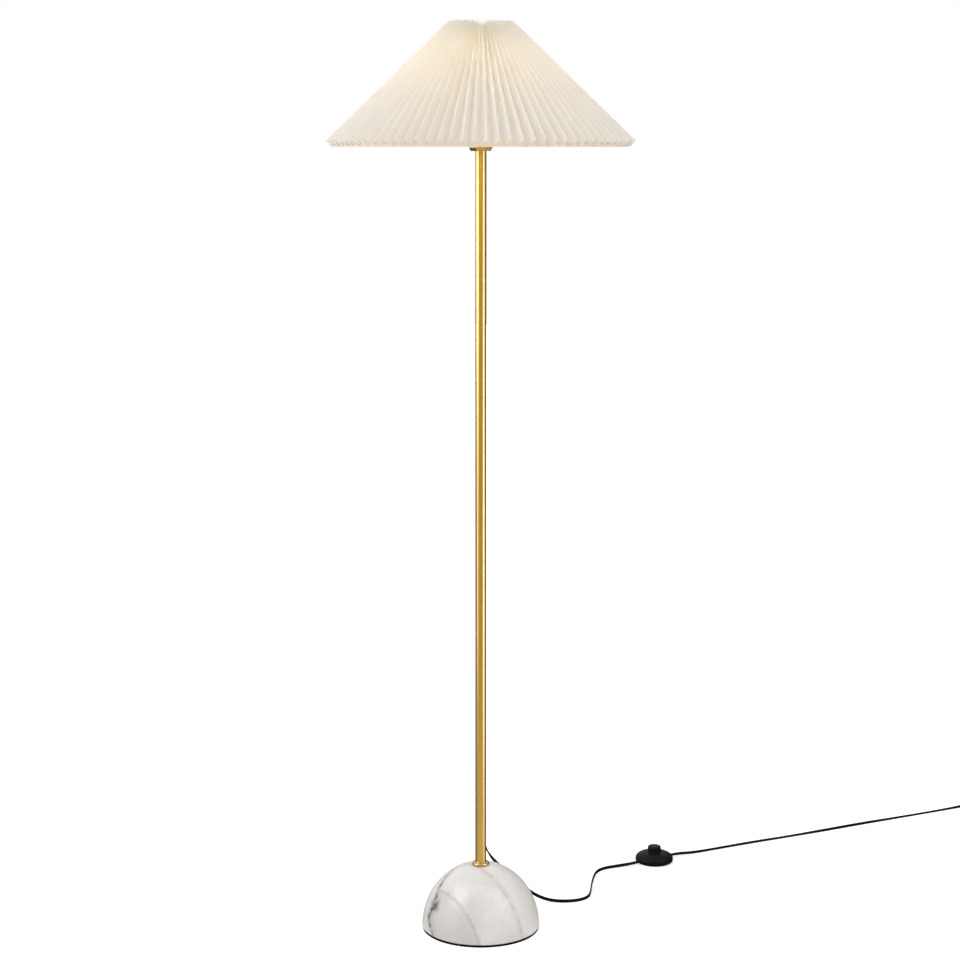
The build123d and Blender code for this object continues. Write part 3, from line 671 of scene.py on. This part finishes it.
# Painted shade: the wire frame is coloured grey-beige, darker than its white coating.
shade_greyed_wire = grained("coated_wire_shade_grey", (0.50, 0.46, 0.40), (0.62, 0.58, 0.51), (0.4, 0.55), 0.0008, 0.00003)
black_plastic = grained("moulded_plastic", (0.004, 0.0038, 0.0035), (0.008, 0.0077, 0.0073), (0.45, 0.6),
                        0.0006, 0.00004, gloss=0.10)
black_rubber = grained("rubber_pad", grey(0.002), grey(0.005), (0.65, 0.85), 0.0009, 0.0001, gloss=0.05)
cord_skin = grained("cord_skin", grey(0.002), grey(0.005), (0.45, 0.6), 0.0007, 0.00003, gloss=0.08)
cloth = cloth_material()

dress(marble_material(), "marble_base")
dress(black_rubber, "base_pad")
dress(satin_brass, "lower_tube", "middle_tube", "upper_tube")
dress(shade_darkened_brass, "base_collar")
dress(bright_brass, "socket_cup")
dress(zinc_steel, "tie_rod", "base_washer", "base_nut", "tube_bushes", "joint_nipples", "socket_nipple",
      "socket_nut", "switch_spring", "switch_screws")
dress(plain_brass, "screw_shell", "centre_contact", "contact_bridge", "switch_terminals", "plug_blades",
      "bulb_contact")
dress(porcelain, "socket_body", "shade_ring_nut")
dress(aluminium, "bulb_cap")
dress(insulator, "bulb_insulator")
dress(bulb_material(), "bulb_glass")
dress(shade_greyed_wire, "fitter_ring", "fitter_spokes", "bottom_ring", "top_ring")
dress(black_plastic, "cord_bushing", "switch_base", "switch_cover", "switch_button", "plug_body", "coil_tie")
dress(cord_skin, "inner_lead", "cord_lead", "cord_tail", "cord_coil", "cord_end")
dress(cloth, "pleated_shade")
dress(hem_material(), "hem_band")
for piece, material in ((cord_lead, cord_skin), (cord_tail, cord_skin), (spring, zinc_steel), (shade, cloth)):
    piece.data.materials.append(material)


# Floor, studio and lamps
floor_half = 12.0
right_rear = (0.64, 0.77, 0.0)
left_rear = (-0.77, 0.64, 0.0)
right_front = (0.93, -0.36, 0.0)
front = (0.0, -1.0, 0.0)
flag_edge = (0.80, 0.88)        # soft edge of the dark places that give the brass its dark lines


def floor_piece():
    """White for the camera; in metal it mirrors grey, warm in front, with dark places at the rear."""
    corners = [(-floor_half, -floor_half, 0), (floor_half, -floor_half, 0), (floor_half, floor_half, 0),
               (-floor_half, floor_half, 0)]
    floor = mesh_piece("floor", corners, [(0, 1, 2, 3)], smooth=False)
    material, tree, surface, _ = new_material("pale_floor")
    spot = place(tree)
    seen = node(tree, "LightPath")
    heading = vector_calc(tree, "NORMALIZE", spot)["Vector"]
    reach = vector_calc(tree, "LENGTH", spot)["Value"]
    paint = ramp(tree, span(tree, reach, 0, 5, 0, 1), [(0.1, grey(0.80)), (0.4, grey(0.60)), (0.9, grey(0.48))])
    for towards in (right_rear, left_rear):
        paint = tinted(tree, paint, facing(tree, heading, towards, *flag_edge), grey(0.08))
    warm = facing(tree, heading, front, 0.50, 0.85)
    paint = tinted(tree, paint, times(tree, warm, 0.9), (0.80, 0.67, 0.23))
    paint = tinted(tree, paint, calc(tree, "SUBTRACT", 1.0, seen.outputs["Is Glossy Ray"]), grey(0.74))
    paint = tinted(tree, paint, seen.outputs["Is Camera Ray"], grey(0.9))
    join(tree, paint, surface.inputs["Base Color"])
    fix(surface, Roughness=0.9, Specular_IOR_Level=0.1, Emission_Color=(1, 1, 1, 1))
    glow = times(tree, span(tree, reach, 0.5, 2.2, 0.5, 1.0), seen.outputs["Is Camera Ray"])
    # Painted reflection: for gloss rays alone the floor glows to the right front and, fainter, near the lamp in
    # front, so that the brass shows highlights there.
    near = times(tree, soft_step(tree, reach, 1.6, 0.3), times(tree, warm, 0.35))
    mirrored_glow = calc(tree, "ADD", facing(tree, heading, right_front, 0.95, 0.99), near)
    mirrored_glow = times(tree, mirrored_glow, seen.outputs["Is Glossy Ray"])
    join(tree, calc(tree, "ADD", glow, mirrored_glow), surface.inputs["Emission Strength"])
    floor.data.materials.append(material)


def studio():
    """A white background for the camera; soft light, more from the left, and a warm front for metal alone."""
    world = bpy.data.worlds.new("studio")
    scene.world = world
    world.use_nodes = True
    tree = world.node_tree
    tree.nodes.clear()
    background = node(tree, "Background")
    output = node(tree, "OutputWorld")
    join(tree, background.outputs["Background"], output.inputs["Surface"])
    seen = node(tree, "LightPath")
    direction = node(tree, "TexCoord").outputs["Generated"]
    parts = node(tree, "SeparateXYZ")
    join(tree, direction, parts.inputs["Vector"])
    room = ramp(tree, span(tree, parts.outputs["Y"], -1, 1, 0, 1),
                [(0.0, grey(0.62)), (0.04, grey(0.66)), (0.12, grey(0.88)), (0.30, grey(0.98)),
                 (0.50, grey(0.96)), (0.75, grey(0.45)), (1.0, grey(0.38))])
    sides = ramp(tree, span(tree, parts.outputs["X"], -1, 1, 0, 1),
                 [(0.0, (1.30, 1.27, 1.27)), (0.5, (1.21, 1.185, 1.16)), (1.0, (0.71, 0.67, 0.60))])
    lit = vector_calc(tree, "MULTIPLY", room, sides)["Vector"]
    unflagged = span(tree, facing(tree, direction, right_rear, *flag_edge), 0, 1, 1.0, 0.04)
    dimmed = node(tree, "VectorMath")
    dimmed.operation = "SCALE"
    join(tree, lit, dimmed.inputs[0])
    join(tree, unflagged, dimmed.inputs["Scale"])
    in_front = times(tree, soft_step(tree, parts.outputs["Y"], -0.70, -0.95), seen.outputs["Is Glossy Ray"])
    warmed = tinted(tree, dimmed.outputs["Vector"], in_front, (0.74, 0.58, 0.17))
    backdrop = times(tree, soft_step(tree, parts.outputs["Y"], 0.3, 0.7), unflagged)
    mirrored = times(tree, backdrop, seen.outputs["Is Glossy Ray"])
    clear = calc(tree, "MAXIMUM", seen.outputs["Is Camera Ray"], seen.outputs["Is Transmission Ray"])
    shown = tinted(tree, warmed, calc(tree, "MAXIMUM", clear, mirrored), (1, 1, 1))
    join(tree, shown, background.inputs["Color"])


white = (1.0, 1.0, 1.0)
gold = (1.0, 0.75, 0.15)
pole_foot = 0.05


def softbox(name, spot, aim_height, width, height, radiance, colour):
    """A lit panel, aimed at the pole, that shows in gloss and metal alone."""
    lamp = bpy.data.lights.new(name, "AREA")
    lamp.shape = "RECTANGLE"
    lamp.size, lamp.size_y = width, height
    lamp.energy = radiance * math.pi * width * height
    lamp.color = colour
    holder = bpy.data.objects.new(name, lamp)
    holder.location = spot
    x, y, z = spot
    pitch = math.atan2(aim_height - z, math.hypot(x, y))
    holder.rotation_euler = (math.pi / 2 + pitch, 0, math.atan2(x, -y))
    holder.visible_camera = False
    holder.visible_diffuse = False
    scene.collection.objects.link(holder)


bulb_energy = 5.1
bulb_colour = (1.0, 0.75, 0.33)
bulb_clearance = 0.003
bulb_place = -0.001        # a little left of the pole's axis


def bulb_light():
    """The light that the bulb throws on the cloth."""
    low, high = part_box("bulb_glass")
    globe = (high.x - low.x) / 2
    lamp = bpy.data.lights.new("bulb_light", "POINT")
    lamp.shadow_soft_size = globe + bulb_clearance
    lamp.energy = bulb_energy
    lamp.color = bulb_colour
    holder = bpy.data.objects.new("bulb_light", lamp)
    holder.location = (bulb_place, 0, high.z - globe)
    holder.visible_camera = False
    holder.visible_glossy = False
    scene.collection.objects.link(holder)


floor_piece()
studio()
bulb_light()
softbox("left_high", (-1.410, -0.513, 1.60), 1.60, 0.96, 1.7, 5.1, white)
softbox("left_low", (-1.391, -0.562, 0.40), 0.40, 0.80, 0.7, 1.7, white)
softbox("right_high", (0.846, -0.431, 1.18), 1.18, 0.34, 1.86, 4.3, white)
softbox("right_low", (0.846, -0.431, 0.13), 0.13, 0.34, 0.24, 2.7, white)
softbox("left_top", (-1.00, -0.12, 1.95), pole_foot, 0.6, 0.6, 3.0, white)
softbox("right_top", (1.12, -0.34, 1.82), pole_foot, 0.5, 0.5, 3.2, white)
softbox("front_high", (0, -1.0, 1.45), 1.45, 0.7, 0.5, 0.8, gold)
